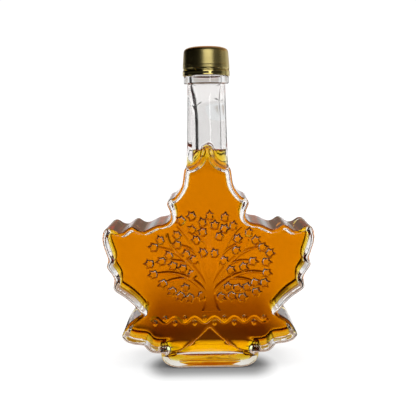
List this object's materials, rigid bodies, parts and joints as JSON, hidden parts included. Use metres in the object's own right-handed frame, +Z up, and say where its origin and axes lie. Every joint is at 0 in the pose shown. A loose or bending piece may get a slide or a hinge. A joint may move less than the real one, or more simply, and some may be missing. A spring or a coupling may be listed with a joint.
{
  "type": "leaf-shaped syrup bottle",
  "caption": "Flat clear glass bottle in the shape of a maple leaf, with a long round neck, full of amber syrup and shut with a gold screw cap.",
  "frame": {"origin": "on the ground, under the middle of the bottle", "axes": "+Z up along the neck, -Y out of the front face, which has the tree on it, +X to the viewer's right of the front"},
  "size_m": [0.127, 0.0411, 0.1938],
  "materials": {
    "clear_glass": "clear moulded glass, fire-polished, with a tree and a vine in low relief on the front",
    "amber_syrup": "clear amber syrup, darker where it is deep and yellow where it is thin",
    "gold_cap": "gold lacquered aluminium, satin, with a shinier tear band"
  },
  "bodies": {
    "root": {"glass_bottle": "clear_glass", "syrup": "amber_syrup", "screw_cap": "gold_cap"}
  },
  "joints": []
}
